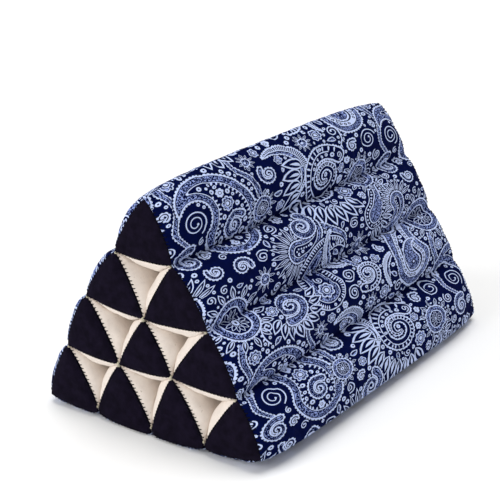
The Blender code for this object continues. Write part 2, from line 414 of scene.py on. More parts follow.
class Boteh:
    """A paisley drop: a round body, and a tail that curls. Its outline can be drawn in by any distance."""

    def __init__(self, width, length, curl, sharp=2.0, steps=46):
        self.width, self.length = width, length
        x = y = 0.0
        self.spine = []
        for k in range(steps + 1):
            s = length * k / steps
            heading = math.pi / 2 + curl * (s / length) ** sharp
            self.spine.append((s, x, y, heading))
            x += length / steps * math.cos(heading)
            y += length / steps * math.sin(heading)

    def half(self, s, inset):
        """Half its breadth at distance s along the spine, or less than 0 outside it."""
        w = self.width
        if s < w:
            body = (w - inset) ** 2 - (w - s) ** 2
            return math.sqrt(body) if body > 0 and s > inset else -1.0
        return w * (1 - (s - w) / (self.length - w)) ** BOTEH_TAPER - inset

    def at(self, s, across):
        """The point at distance s along the spine, and that far to its left."""
        k = min(len(self.spine) - 2, max(0, int(s / self.length * (len(self.spine) - 1))))
        s0, x0, y0, h0 = self.spine[k]
        s1, x1, y1, h1 = self.spine[k + 1]
        f = (s - s0) / (s1 - s0)
        h = h0 + (h1 - h0) * f
        return x0 + (x1 - x0) * f - math.sin(h) * across, y0 + (y1 - y0) * f + math.cos(h) * across

    def outline(self, inset):
        w = self.width
        cap = [inset + (w - inset) * (1 - math.cos(a * math.pi / 16)) for a in range(1, 8)]
        stations = [(s, self.half(s, inset)) for s in cap + [s for s, *_ in self.spine if s > w]]
        stations = [(s, half) for s, half in stations if half > 0.05]
        if len(stations) < 4:
            return None
        right = [self.at(s, -half) for s, half in stations]
        left = [self.at(s, half) for s, half in stations[::-1]]
        return [self.at(inset, 0.0)] + right + left

    def bands(self, *rows):
        """Its outline drawn in by each row's distance, in its colour, and with bumps where it gives them."""
        shapes = []
        for color, inset, *bumps in rows:
            outline = self.outline(inset)
            if outline:
                shapes.append((color, scalloped(outline, *bumps) if bumps else outline))
        return shapes

    def along(self, side, inset, pitch, begin, stop):
        """Points along one side, at an even pitch, drawn in by inset."""
        steps = 400
        found = []
        for k in range(steps + 1):
            s = self.length * (begin + (stop - begin) * k / steps)
            half = self.half(s, inset)
            if half < 0.1:
                continue
            point = self.at(s, side * half)
            if not found or math.dist(point, found[-1]) >= pitch:
                found.append(point)
        return found

    def dots(self, *place, rounds):
        """Dots along one side: the colour, radius and number of corners of each round in a dot."""
        return [
            (color, circle(x, y, radius, corners))
            for x, y in self.along(*place)
            for color, radius, corners in rounds
        ]

    def thorns(self, side, *place, root, length, width):
        """Small petals along one side that point inwards."""
        row = self.along(side, *place)
        shapes = []
        for (ax, ay), (bx, by) in zip(row, row[1:]):
            way = math.atan2(by - ay, bx - ax) - side * math.pi / 2
            shapes.append((LIGHT, petal(bx, by, way, root, length, width, 3)))
        return shapes


def moved(shapes, x, y, angle=0.0, mirrored=False):
    c, s = math.cos(angle), math.sin(angle)
    placed = []
    for color, points in shapes:
        if mirrored:
            points = [(-px, py) for px, py in points[::-1]]
        placed.append((color, [(x + px * c - py * s, y + px * s + py * c) for px, py in points]))
    return placed


def layered_petal(layers, x, y, angle, start, length, width, lean):
    """A petal of layers: the colour of each, and its root, length, width and lean as shares of the whole's."""
    return [
        (color, petal(x, y, angle, start + length * root, length * long, width * wide, steps, lean * bend))
        for color, root, long, wide, steps, bend in layers
    ]


def fan(x, y, first, last, count, start, length, width, lean=0.0, veins=True):
    """Petals side by side around (x, y), each with a dark field, and most with a vein."""
    layers = PETAL_LAYERS if veins else PETAL_LAYERS[:2]
    shapes = []
    for k in range(count):
        angle = first + (last - first) * k / (count - 1)
        shapes += layered_petal(layers, x, y, angle, start, length, width, lean)
    return shapes


def wreath(count, turn, start, length, width, veins=True):
    """A fan that goes all the way round."""
    return fan(0, 0, turn, turn + math.tau * (1 - 1 / count), count, start, length, width, veins=veins)


def rosette(radius, lumps, turn=0.0):
    """A small flower."""
    shapes = [(LIGHT, lumpy(radius * 0.80, lumps, radius * 0.22, turn))]
    if radius > 4.5:
        shapes.append((MID, lumpy(radius * 0.66, lumps, radius * 0.20, turn)))
    return shapes + discs(radius, (LIGHT, 0.50, 12), (GROUND, 0.40, 12), (LIGHT, 0.27, 10))


def daisy(radius, turn):
    """A larger flower: a row of petals around a dotted heart."""
    petals = 10
    shapes = wreath(petals, turn, radius * 0.38, radius * 0.62, radius * 2.53 / petals)
    shapes.append((LIGHT, lumpy(radius * 0.46, petals, radius * 0.06, turn + math.pi / petals)))
    shapes += discs(radius, (GROUND, 0.38, 20), (MID, 0.32, 18))
    shapes += ring_of_dots(GROUND, 9, radius * 0.21, radius * 0.045)
    return shapes + discs(radius, (LIGHT, 0.12, 10))


def curl(radius, turns, thick, start):
    """A tendril wound into a curl, with a bead at its heart."""
    path = spiral(0, 0, radius, radius * 0.22, start, turns, int((9 + radius) * turns) + 6)
    return [(LIGHT, stroke(path, thick, 0.75)), (LIGHT, circle(*path[-1], thick * 0.95, 8))]


def tendril(length, bend, radius, thick, thorns):
    """A stem with thorns that ends in a curl, from (0, 0) upwards."""
    side = 1 if bend >= 0 else -1
    path = []
    x = y = 0.0
    steps = 12
    for k in range(steps):
        heading = math.pi / 2 - bend * (k / steps)
        path.append((x, y))
        x += length / steps * math.cos(heading)
        y += length / steps * math.sin(heading)
    heading = math.pi / 2 - bend
    cx, cy = polar(x, y, radius, heading - side * math.pi / 2)
    start = math.atan2(y - cy, x - cx)
    path += spiral(cx, cy, radius, radius * 0.25, start, -side * 1.35, 22)
    shapes = [(LIGHT, stroke(path, thick, 0.8)), (LIGHT, circle(*path[-1], thick * 0.95, 8))]
    for k in range(2, 2 + 3 * thorns, 3):
        way = math.pi / 2 - bend * k / steps + side * 2.2
        shapes.append((LIGHT, petal(*path[k], way, 0.0, 4.2, 1.7, 4)))
    return shapes


def scroll(radius, turns, start, toothed=False, wide=0.44):
    """A band wound into itself like a snail's shell, with bumps along its edge."""
    steps = int(26 * turns)
    path = spiral(0, 0, radius * (1 - wide / 2), radius * 0.10, start, turns, steps)
    width, tip = radius * wide, 0.22
    line = 0.8 + radius * 0.012

    def band(color, less, bumps=0.0):
        thin = (width * tip - less * 0.6) / (width - less)
        outline = stroke(path, width - less, max(0.04, thin))
        cap = circle(*path[0], (width - less) / 2, 16)
        if bumps:
            outline = scalloped(outline[::-1], 3.2, bumps)
            cap = scalloped(cap, 3.2, bumps)
        return [(color, outline), (color, cap)]

    shapes = band(GROUND, -4.0) + band(LIGHT, -0.7, 1.0) + band(GROUND, line * 1.4)
    if not toothed:
        return shapes + band(MID, line * 2.8) + [(GROUND, stroke(path[1:], 0.9, 0.6))]
    gone = 0.0
    for k in range(1, steps):
        (ax, ay), (bx, by) = path[k - 1], path[k]
        gone += math.dist(path[k - 1], path[k])
        w = width * (1 + (tip - 1) * k / steps)
        pitch = max(1.9, w * 0.27)
        if gone < pitch or w < 3.6:
            continue
        gone = 0.0
        way = math.atan2(by - ay, bx - ax) - math.pi / 2
        root = polar(bx, by, w * 0.5 - line, way)
        shapes.append((LIGHT, petal(*root, way + math.pi, -0.6, w * 0.44, pitch * 0.62, 3)))
    return shapes + [(LIGHT, stroke(path[2:], 1.1, 0.5))]


def snail_with_fan(radius, length, first, last, count, start, toothed):
    """A scroll that carries a fan of pointed petals on its back."""
    width = radius * (last - first) / count * 1.5
    shapes = fan(0, 0, first, last, count, radius * 0.92, length, width, 0.12)
    return shapes + scroll(radius, 1.75, start, toothed)


def framed_paisley(width, length, curl_by):
    """A large drop: a stippled frame with bumps, and in its dark field a scroll, thorns and small flowers."""
    b = Boteh(width, length, curl_by)
    shapes = b.bands((GROUND, -2.4), (LIGHT, -0.5, 3.3, 1.3), (GROUND, 0.6))
    shapes += b.bands((MID, 1.2), (GROUND, 6.4), (LIGHT, 7.1), (GROUND, 7.9))
    for side in (-1, 1):
        shapes += b.dots(side, 4.0, 3.6, 0.01, 0.9, rounds=[(GROUND, 0.8, 6)])
        shapes += b.thorns(side, 8.0, 4.0, 0.06, 0.60, root=-0.7, length=3.4, width=1.9)
    shapes += moved(scroll(width * 0.52, 1.6, 1.0), 0.0, width * 1.02)
    shapes += moved(rosette(4.3, 7), *b.at(length * 0.53, 0.0))
    return shapes + [(LIGHT, circle(*b.at(length * 0.64, 0.0), 1.5, 8))]


def ringed_paisley(width, length, curl_by):
    """A large drop: bumps, a stippled band, a light band of rings, and a small drop at its heart."""
    b = Boteh(width, length, curl_by)
    shapes = b.bands((GROUND, -2.4), (LIGHT, -0.5, 3.2, 1.3), (GROUND, 0.6))
    shapes += b.bands((MID, 1.2), (GROUND, 5.6), (LIGHT, 6.3))
    for side in (-1, 1):
        shapes += b.dots(side, 9.0, 4.2, 0.10, 0.66, rounds=[(GROUND, 1.6, 8), (LIGHT, 0.75, 6)])
    shapes += b.bands((GROUND, 11.6))
    small = Boteh(width - 14.0, length * 0.44, curl_by * 0.9, steps=20)
    heart = small.bands((LIGHT, 0.0, 2.8, 0.9), (GROUND, 1.2), (MID, 1.9))
    heart += moved(discs(small.width, (GROUND, 0.30, 10), (LIGHT, 0.14, 7)), 0, small.width * 0.95)
    return shapes + moved(heart, 0.0, 13.6)


def toothed_paisley(width, length, curl_by):
    """A drop with a toothed band and a dark heart with a small flower."""
    b = Boteh(width, length, curl_by)
    shapes = b.bands((GROUND, -2.4), (LIGHT, -0.7), (GROUND, 0.4))
    for side in (-1, 1):
        shapes += b.thorns(side, 0.7, 2.7, 0.02, 0.93, root=-0.6, length=4.6, width=1.5)
    shapes += b.bands((LIGHT, 6.4), (GROUND, 7.2), (MID, 7.9), (GROUND, 11.2))
    return shapes + moved(rosette(width - 11.5, 7), 0.0, width + 0.3)


def sunburst(radius, rays):
    """A round flower with pointed rays around a dotted rim and a petalled heart."""
    shapes = [(GROUND, circle(0, 0, radius + 2, 20))]
    shapes += wreath(rays, 0.0, radius * 0.94, radius * 0.58, radius * 0.27)
    shapes += ring_of_dots(LIGHT, rays, radius * 1.16, radius * 0.045 + 0.3, 7, math.pi / rays)
    shapes.append((LIGHT, scalloped(circle(0, 0, radius * 0.95, 24), 3.0, 1.1)))
    shapes += discs(radius, (GROUND, 0.90, 24), (MID, 0.86, 24))
    shapes += ring_of_dots(GROUND, 2 * rays, radius * 0.74, radius * 0.045)
    shapes += discs(radius, (LIGHT, 0.63, 22), (GROUND, 0.57, 22))
    shapes += wreath(12, 0.0, radius * 0.16, radius * 0.36, radius * 0.16, False)
    return shapes + discs(radius, (LIGHT, 0.14, 9), (GROUND, 0.06, 6))


def crescent(radius, thick, span):
    """A bow-shaped band with fine rays across it."""
    steps = 22
    rows = []
    for k in range(steps + 1):
        t = k / steps
        rows.append((span * (t - 0.5), thick * (0.16 + 0.84 * math.sin(math.pi * t) ** 0.7)))

    def arc(found, out, share):
        """Points at a distance out from the rim, less a share of the band's width."""
        return [polar(0, 0, radius + out - w * share, angle) for angle, w in found]

    inner = rows[1:-1]
    shapes = [
        (GROUND, arc(rows, 2.0, 0) + arc(rows[::-1], 0, 1)),
        (LIGHT, scalloped(arc(rows, 0, 0) + arc(rows[::-1], 0, 1), 3.0, 1.0)),
        (GROUND, arc(inner, -0.9, 0) + arc(inner[::-1], 0.8, 1)),
    ]
    for k in range(3, 2 * steps - 2):
        angle, w = rows[k // 2]
        ray = [(angle + (k % 2) * span / steps / 2, w)]
        shapes.append((LIGHT, stroke(arc(ray, -0.6, 0) + arc(ray, 0, 0.5), 0.8)))
    shapes.append((LIGHT, stroke(arc(inner, 0, 0.56), 1.0)))
    # Only where the band is wide, because this outline would cross itself further out
    wide = [row for row in rows if row[1] > CRESCENT_WIDE]
    if len(wide) > 2:
        shapes.append((MID, arc(wide, -0.6, 0.64) + arc(wide[::-1], 1.2, 1)))
    return shapes


def feather(width, length, curl_by, petals):
    """A slim hook with a fan of petals at its foot."""
    b = Boteh(width, length, curl_by, 1.8, 32)
    shapes = fan(0, width * 0.9, math.pi * 0.98, math.pi * 2.02, petals, width * 0.9, width * 1.9, 4.6)
    shapes += b.bands((GROUND, -1.9), (LIGHT, -0.3, 2.8, 0.9), (GROUND, 0.7))
    shapes += b.bands((MID, 1.6), (GROUND, 4.2), (LIGHT, 4.8), (GROUND, 5.6))
    return shapes + b.dots(1, width * 0.78, 3.0, 0.1, 0.5, rounds=[(LIGHT, 0.9, 7)])


def plume(width, length, curl_by):
    """A drop whose outer side carries a row of petals."""
    b = Boteh(width, length, curl_by, 1.8, 36)
    shapes = []
    side = b.along(-1, 0.0, 6.0, 0.03, 0.92)
    for k, (x, y) in enumerate(side):
        ax, ay = side[max(0, k - 1)]
        bx, by = side[min(len(side) - 1, k + 1)]
        way = math.atan2(by - ay, bx - ax) - math.pi / 2 + 0.35
        size = 16.5 * (1 - 0.5 * k / len(side))
        layers = ((LIGHT, -1.5, 1, 5.6, 6), (GROUND, 0.4, 0.70, 3.0, 5), (LIGHT, 1.4, 0.38, 0.9, 3))
        for color, root, share, wide, steps in layers:
            shapes.append((color, petal(x, y, way, root, size * share, wide, steps)))
    shapes += b.bands((GROUND, -1.2), (LIGHT, -0.2), (GROUND, 0.8))
    for hand in (-1, 1):
        shapes += b.dots(hand, 3.2, 3.7, 0.04, 0.84, rounds=[(LIGHT, 1.15, 7)])
    return shapes + b.bands((LIGHT, 5.4), (GROUND, 6.5), (MID, 7.2))


def linked_band(points, width):
    """A stippled band along a free curve, which ties two motifs together."""
    tip = 0.35
    last = len(points) - 1
    path = []
    for k in range(last):
        near = [points[max(0, k - 1)], points[k], points[k + 1], points[min(last, k + 2)]]
        for step in range(7):
            weights = curve_weights(step / 7)
            path.append(tuple(sum(w * p[axis] for w, p in zip(weights, near)) for axis in (0, 1)))
    path.append(points[-1])
    return [
        (GROUND, stroke(path, width + 3.4, tip)),
        (LIGHT, scalloped(stroke(path, width, tip)[::-1], 3.4, 0.9)),
        (GROUND, stroke(path, width - 1.4, tip)),
        (MID, stroke(path, width - 2.5, tip)),
    ]


def layout():
    """One repeat's large motifs: each one's place in millimetres, turn in degrees, and whether mirrored."""
    rows = [
        (linked_band([(16, 114), (10, 98), (14, 76), (6, 52), (18, 34)], 7.0), 0, 0, 0, False),
        (linked_band([(95, 48), (91, 68), (80, 86), (84, 108)], 6.0), 0, 0, 0, False),
        (linked_band([(132, 184), (150, 172), (164, 156), (160, 134), (167, 116)], 6.5), 0, 0, 0, False),
        (feather(11, 72, 3.4, 11), 96, 166, -100, False),
        (plume(14, 88, 2.6), 198, 152, -50, False),
        (crescent(27, 11, 3.3), 129, 62, 35, False),
        (crescent(20, 8, 2.8), 206, 98, 150, False),
        (toothed_paisley(20, 98, 3.0), 120, 97, 8, True),
        (framed_paisley(27, 116, 3.3), 58, 10, -14, False),
        (ringed_paisley(24, 102, 3.3), 238, 74, 24, True),
        (snail_with_fan(33, 24, 2.5, 5.1, 11, 0.6, True), 174, 42, 0, False),
        (snail_with_fan(20, 16, 3.0, 5.8, 9, 3.6, False), 76, 122, 30, False),
        (sunburst(21, 13), 26, 134, 0, False),
        (sunburst(15, 12), 222, 28, 0, False),
        (scroll(18, 1.7, 2.0), 122, 6, 0, True),
        (scroll(19, 1.7, 4.0, True), 168, 110, 0, False),
        (crescent(21, 9, 3.0), 156, 150, 190, False),
        (feather(9, 60, 3.6, 9), 240, 174, -160, True),
        (scroll(14, 1.6, 1.0), 14, 24, 0, False),
        (sunburst(11, 10), 96, 40, 0, False),
        (tendril(24, -1.4, 6.5, 1.3, 3), 200, 62, -60, False),
        (tendril(22, 1.5, 6, 1.3, 2), 40, 100, 40, False),
    ]
    shapes = []
    for motif, x, y, degrees, mirrored in rows:
        shapes += moved(motif, x, y, math.radians(degrees), mirrored)
    return shapes


def fill_raster(mask, points, taken=True):
    """Marks the 1 mm cells that an outline covers, on a map that wraps round at the repeat."""
    p = np.array(points)
    x0, y0 = np.floor(p.min(0)).astype(int)
    x1, y1 = np.ceil(p.max(0)).astype(int)
    gx, gy = np.meshgrid(np.arange(x0, x1 + 1), np.arange(y0, y1 + 1), indexing="ij")
    inside = np.zeros(gx.shape, bool)
    for (ax, ay), (bx, by) in zip(p, np.roll(p, -1, 0)):
        crosses = (ay > gy) != (by > gy)
        with np.errstate(divide="ignore", invalid="ignore"):
            inside ^= crosses & (gx < (bx - ax) * (gy - ay) / (by - ay) + ax)
    mask[gx[inside] % mask.shape[0], gy[inside] % mask.shape[1]] = taken


def distances(mask):
    """How far each free cell is from the nearest marked one, in millimetres, up to FILLER_REACH."""
    grown = mask.copy()
    reach = np.zeros(mask.shape)
    straight = [(1, 0), (-1, 0), (0, 1), (0, -1)]
    slanting = [(1, 1), (1, -1), (-1, 1), (-1, -1)]
    for k in range(FILLER_REACH):
        reach[~grown] = k + 1
        ways = straight + slanting if k % 2 else straight
        grown = np.logical_or.reduce([grown] + [np.roll(grown, way, (0, 1)) for way in ways])
    return reach


def filler(kind, radius, turn):
    """A small motif that fits a free place of this radius."""
    if radius > 8:
        shell = scroll(radius * 0.88, 1.5, turn, wide=0.42)
        return (shell, daisy(radius, turn), curl(radius - 0.6, 2.1, 1.2, turn))[kind]
    if radius > 5.4:
        shell = scroll(radius * 0.84, 1.3, turn, wide=0.42)
        return (rosette(radius, 8, turn), curl(radius - 0.5, 1.8, 1.15, turn), shell)[kind]
    if radius > 2.9:
        leaf = layered_petal(LEAF_LAYERS, 0, 0, math.pi / 2, 0, radius * 2.1, radius * 1.1, 0.25)
        leaf = moved(leaf, *polar(0, 0, radius, turn - math.pi / 2), turn)
        return (rosette(radius, 6, turn), curl(radius - 0.4, 1.3, 1.0, turn), leaf)[kind]
    bead = [(LIGHT, circle(0, 0, radius * 0.72 + 0.35, 8))]
    return bead + discs(radius, (GROUND, 0.3, 6)) if radius > 1.7 else bead


def fillers(shapes):
    """Small motifs in the places that the large ones leave free, the widest places first."""
    mask = np.zeros((int(REPEAT[0]), int(REPEAT[1])), bool)
    for color, points in shapes:
        fill_raster(mask, points, color != GROUND)
    chance = random.Random(FILLER_SEED)
    found = []
    for count in range(FILLERS_AT_MOST):
        reach = distances(mask)
        best = reach.max()
        if best < 3:
            break
        places = np.argwhere(reach == best)
        x, y = places[chance.randrange(len(places))]
        radius = best - 1.2
        found += moved(filler(count % 3, radius, chance.uniform(0, math.tau)), float(x), float(y))
        fill_raster(mask, circle(x, y, radius + 0.6))
    return found


def repeat_shapes():
    """One repeat of the print, in millimetres: a list of colours and outlines, later ones on top."""
    shapes = layout()
    return [
        (color, [(x * PRINT_SCALE[0], y * PRINT_SCALE[1]) for x, y in points])
        for color, points in shapes + fillers(shapes)
    ]


def panel_lines():
    """Flat places, in millimetres, that the panel's mesh has points at besides the print's outlines."""
    ends = np.array([0.0, 1.5, 3.5, 6.0, 9.0, 13.0])
    across = np.concatenate([ends, np.arange(18.0, 483.0, 5.0), 500 - ends[::-1]])
    shares = np.array([0.0, 0.014, 0.035, 0.07, 0.12, 0.18, 0.25, 0.33, 0.42])
    lobe = np.concatenate([shares, [0.5], 1 - shares[:0:-1]])
    up = np.concatenate([(k + lobe) * LOBE_FLAT_MM for k in range(ROWS)] + [[ROWS * LOBE_FLAT_MM]])
    return across, up


def cut_print(shapes, phase):
    """A panel's flat mesh with the print cut into it: points in millimetres, triangles and their colours."""
    width, height = LENGTH * 1000, ROWS * LOBE_FLAT_MM
    points, faces, colors = [], [], []

    def add_outline(color, loop):
        # The cutter fills the left-hand side of an outline, so each one runs counter-clockwise
        x, y = np.array(loop, float).T
        if (x * np.roll(y, -1) - np.roll(x, -1) * y).sum() < 0:
            loop = loop[::-1]
        first = len(points)
        points.extend(Vector(p) for p in loop)
        faces.append(list(range(first, len(points))))
        colors.append(color)

    add_outline(GROUND, [(0, 0), (width, 0), (width, height), (0, height)])
    for color, loop in shapes:
        (x0, y0), (x1, y1) = np.min(loop, 0), np.max(loop, 0)
        for i in range(-2, 4):
            for j in range(-2, 4):
                dx = phase[0] + i * REPEAT[0] * PRINT_SCALE[0]
                dy = phase[1] + j * REPEAT[1] * PRINT_SCALE[1]
                if x1 + dx > 0 and x0 + dx < width and y1 + dy > 0 and y0 + dy < height:
                    add_outline(color, [(x + dx, y + dy) for x, y in loop])
    across, up = panel_lines()
    points += [Vector((x, y)) for x in across for y in up]
    flat, _, triangles, _, _, sources = delaunay_2d_cdt(points, [], faces, 1, 1e-5, True)
    kept = [(triangle, colors[max(source)]) for triangle, source in zip(triangles, sources) if 0 in source]
    used, renumbered = np.unique([triangle for triangle, _ in kept], return_inverse=True)
    return np.array(flat)[used], renumbered.reshape(-1, 3), [color for _, color in kept]


def printed_panel(name, side, grid, shapes, phase, materials):
    """One panel: its print cut into the cloth, and the whole laid on the filled cover."""
    flat, triangles, colors = cut_print(shapes, phase)
    u = np.clip(flat[:, 0], 0, LENGTH * 1000) / 1000 - LENGTH / 2
    v = side * ROWS + np.clip(flat[:, 1], 0, ROWS * LOBE_FLAT_MM) / LOBE_FLAT_MM
    item = mesh_object(name + "_cloth", sample_cover(grid, u, v), triangles, materials)
    mesh = item.data
    mesh.polygons.foreach_set("material_index", colors)
    loops = np.empty(len(mesh.loops), int)
    mesh.loops.foreach_get("vertex_index", loops)
    mesh.uv_layers.new(name="flat").data.foreach_set("uv", (flat[loops] / UV_UNIT_MM).ravel())
    mesh.normals_split_custom_set_from_vertices([tuple(n) for n in cover_normals(grid, u, v)])
    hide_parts(name)
    return item


# Tubes and end triangles

WALL_GAP = 0.0002  # from a pocket wall to the middle line that it shares with its neighbour
UNDER_COVER = 0.0012  # how far the calico lies below the printed cloth
COVER_SHARE = 0.6  # how much of the cover's swelling the calico follows
UNDER_CREASE = 0.0022  # how far the calico stays below the cover's drawn-in seams
POCKET_CLOSING = 0.012  # how much more the tubes swell deep inside, where they close the pockets
POCKET_CLOSING_RUN = 0.095
BASE_CLEARANCE = 0.0035  # how far the tubes stay above the printed base cloth, besides their inset
PITCH_OF_STITCHES = 0.0046
PUCKERS_OF_SIDES = (0.3, 0.3, 1.0)  # how much the stitches pucker a tube's left, lower and right side
RIM_SHARES = np.linspace(0, 1, 65)[:-1]
TUBE_END = 0.2493
TUBE_DEPTHS = np.array([
    0.0, 0.0008, 0.0018, 0.003, 0.0045, 0.0065, 0.009, 0.0115, 0.014, 0.017, 0.020, 0.024, 0.028,
    0.034, 0.042, 0.055, 0.075, 0.10, 0.14, 0.19,
])
CAP_RINGS = np.array([1.0, 0.985, 0.955, 0.91, 0.84, 0.74, 0.60, 0.44, 0.27, 0.12])
CAP_INSET = 0.0003
HEM = 0.0015


def angle_between(a, b):
    cosine = (a * b).sum(-1) / (np.linalg.norm(a, axis=-1) * np.linalg.norm(b, axis=-1))
    return np.arccos(np.clip(cosine, -1, 1))


def crossing(corner, normal_a, inset_a, normal_b, inset_b):
    cross = normal_a[..., 0] * normal_b[..., 1] - normal_a[..., 1] * normal_b[..., 0]
    dy = (-inset_a * normal_b[..., 1] + inset_b * normal_a[..., 1]) / cross
    dz = (-inset_b * normal_a[..., 0] + inset_a * normal_b[..., 0]) / cross
    return corner + np.stack([dy, dz], -1)


def wall_rise(start, end, pocket, share, x, plump):
    """How far a pocket wall swells, up to the middle line that it shares with its neighbour."""
    length = np.linalg.norm(end - start, axis=-1)[:, None]
    start_slope = np.tan(angle_between(end - start, pocket - start) / 2)[:, None]
    end_slope = np.tan(angle_between(start - end, pocket - end) / 2)[:, None]
    limit = length * np.minimum(share * start_slope, (1 - share) * end_slope) - WALL_GAP
    closing = POCKET_CLOSING * (1 - np.exp(-((end_distance(x) / POCKET_CLOSING_RUN) ** 3)))
    height = (swell(POCKET_SWELL, x) + closing) * plump
    return np.minimum(height[:, None] * (1 - np.abs(2 * share - 1) ** FULLNESS), np.maximum(limit, 0))


def tube_sides(row, column, x, cover_inset, cover_share):
    """A tube's sides at each x: the points (x, share, 2) and outward normal of each, and if it is a wall."""
    corners = [seam(row - 1, column, x), seam(row, column, x), seam(row, column + 1, x)]
    pockets = [
        None if column == 0 else seam(row - 1, column - 1, x),
        None if row == ROWS else seam(row + 1, column + 1, x),
        None if column == row - 1 else seam(row - 1, column + 1, x),
    ]
    insets = [cover_inset if pocket is None else WALL_GAP for pocket in pockets]
    normals = [side_normal(corners[k], corners[(k + 1) % 3]) for k in range(3)]
    inner = [crossing(corners[k], normals[k - 1], insets[k - 1], normals[k], insets[k]) for k in range(3)]
    plump = plumpness(row, column)
    share = RIM_SHARES[None, :]
    profile = 1 - np.abs(2 * share - 1) ** FULLNESS
    sides = []
    for k, pocket in enumerate(pockets):
        start, end = inner[k], inner[(k + 1) % 3]
        line = start[:, None] + (end - start)[:, None] * share[..., None]
        if pocket is not None:
            rise = wall_rise(corners[k], corners[(k + 1) % 3], pocket, share, x, plump)
        elif k == 1:
            # The base lobe hangs from its tucked seams, so it is drawn down to them and to the floor
            low_start, low_end = base_seam(column, x)[:, None, 1], base_seam(column + 1, x)[:, None, 1]
            low = low_start + (low_end - low_start) * share
            low = np.maximum(low - (swell(BASE_SWELL, x) * plump * cover_share)[:, None] * profile, 0.0)
            clear = BASE_CLEARANCE * (1 - np.exp(-end_distance(x) / CREASE_RUN))[:, None]
            ease = np.clip(np.minimum(share, 1 - share) / 0.02, 0, 1)
            line[..., 1] += (low + cover_inset + clear - line[..., 1]) * ease
            rise = np.zeros((1, 1))
        else:
            rise = (swell(COVER_SWELL, x) * plump * cover_share)[:, None] * profile
        sides.append((line + normals[k][:, None] * rise[..., None], normals[k], pocket is not None))
    return sides


def under_creases(section, row, column, x):
    """A tube's corners drawn in where the cover's seams press on them."""
    for corner in ((row - 1, column), (row, column), (row, column + 1)):
        way = crease_way(*corner)
        if way is None:
            continue
        seam_place = base_seam(corner[1], x) if corner[0] == ROWS else seam(*corner, x)
        off = section[..., 1:] - seam_place[:, None]
        below = -(off @ way)
        beside = np.abs(off @ np.array([-way[1], way[0]]))
        wanted = (crease_depth(x)[:, None] + UNDER_CREASE) * np.exp(-beside / (CREASE_WIDTH * 1.5))
        push = np.maximum(wanted - np.maximum(below, 0), 0) * (below < 0.02)
        section[..., 1:] -= way * push[..., None]
    return section


def wall_folds(place, depth, side, seed):
    """Shallow folds that fade at the seams, and puckers that the stitches pull in the rim."""
    shape = place.shape[:2]
    share = RIM_SHARES[None, :]
    length = np.linalg.norm(place[:, -1, 1:] - place[:, 0, 1:], axis=-1)[:, None]
    free = np.clip(np.minimum(share, 1 - share) / 0.12, 0, 1)
    points = place.reshape(-1, 3)
    folds = smooth_noise(points * np.array([0.7, 1.0, 1.0]), seed, 0.034).reshape(shape) * 0.0012
    ridges = np.abs(smooth_noise(points, seed + 7, 0.040)).reshape(shape)
    folds = (folds + np.minimum(ridges * 4, 1) * 0.0008) * free * np.clip(depth / 0.004, 0, 1)
    puckers = np.cos(math.tau * share * length / PITCH_OF_STITCHES) * 0.0008 * np.exp(-depth / 0.0030)
    return folds - puckers * np.clip(free * 3, 0, 1) * PUCKERS_OF_SIDES[side]


def calico_tube(row, column, material):
    x = np.concatenate([TUBE_DEPTHS - TUBE_END, TUBE_END - TUBE_DEPTHS[::-1]])
    columns = []
    for k, (points, normal, is_wall) in enumerate(tube_sides(row, column, x, UNDER_COVER, COVER_SHARE)):
        place = np.concatenate([np.repeat(x[:, None, None], points.shape[1], 1), points], -1)
        if is_wall:
            offset = wall_folds(place, end_distance(x)[:, None], k, 100 * row + 10 * column + k)
            place[..., 1:] += normal[:, None] * offset[..., None]
        columns.append(place)
    section = under_creases(np.concatenate(columns, 1), row, column, x)
    faces = grid_faces(*section.shape[:2], True)
    item = mesh_object(f"calico_{row}_{column + 1}", section.reshape(-1, 3), faces, [material])
    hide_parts(f"tube_{row}_{column + 1}")


def end_outline(row, column, out, inset):
    x = np.array([out * LENGTH / 2])
    return np.concatenate([points[0] for points, _, _ in tube_sides(row, column, x, inset, 1.0)])


def dark_triangle(row, column, end, out, material):
    """The dark cloth over a tube's end: crowned, with its rim turned in, and pulled a little at each stitch."""
    outline = end_outline(row, column, out, CAP_INSET)
    middle = outline.mean(0)
    seed = 1000 + 100 * row + 10 * column + (out > 0)
    count = len(outline)
    lengths = np.linalg.norm(np.roll(outline, -1, 0) - outline, axis=1)
    along = np.concatenate([[0], np.cumsum(lengths)[:-1]])
    pull = (0.5 + 0.5 * np.cos(math.tau * along / PITCH_OF_STITCHES)) * np.repeat(PUCKERS_OF_SIDES, count // 3)

    def on_cap(ring, size, pulls):
        point = np.stack([np.zeros(len(ring)), ring[:, 0], ring[:, 1]], -1)
        rise = END_CROWN * (1 - size**5) * 0.85 + (0.0 if size == 1 else 0.0007)
        rise = rise - 0.0006 * pulls * math.exp(-(1 - size) / 0.045)
        rise = rise + smooth_noise(point, seed, 0.030) * 0.0006 * (1 - size**3)
        point[:, 0] = out * (LENGTH / 2 + rise)
        return point

    rings = [on_cap(middle + (outline - middle) * size, size, pull) for size in CAP_RINGS]
    hem = rings[0].copy()
    hem[:, 1:] = middle + (outline - middle) * CAP_RINGS[1]
    hem[:, 0] -= out * HEM
    points = np.concatenate([hem, *rings, on_cap(middle[None], 0.0, 0.0)])
    last = len(rings) * count
    faces = [tuple(f) for f in grid_faces(len(rings) + 1, count, True)]
    faces += [(last + k, len(points) - 1, last + (k + 1) % count) for k in range(count)]
    if out < 0:
        faces = [face[::-1] for face in faces]
    name = f"{end}_triangle_{row}_{column + 1}"
    item = mesh_object(f"dark_{name}", points, faces, [material])
    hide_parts(name)


# Sewing

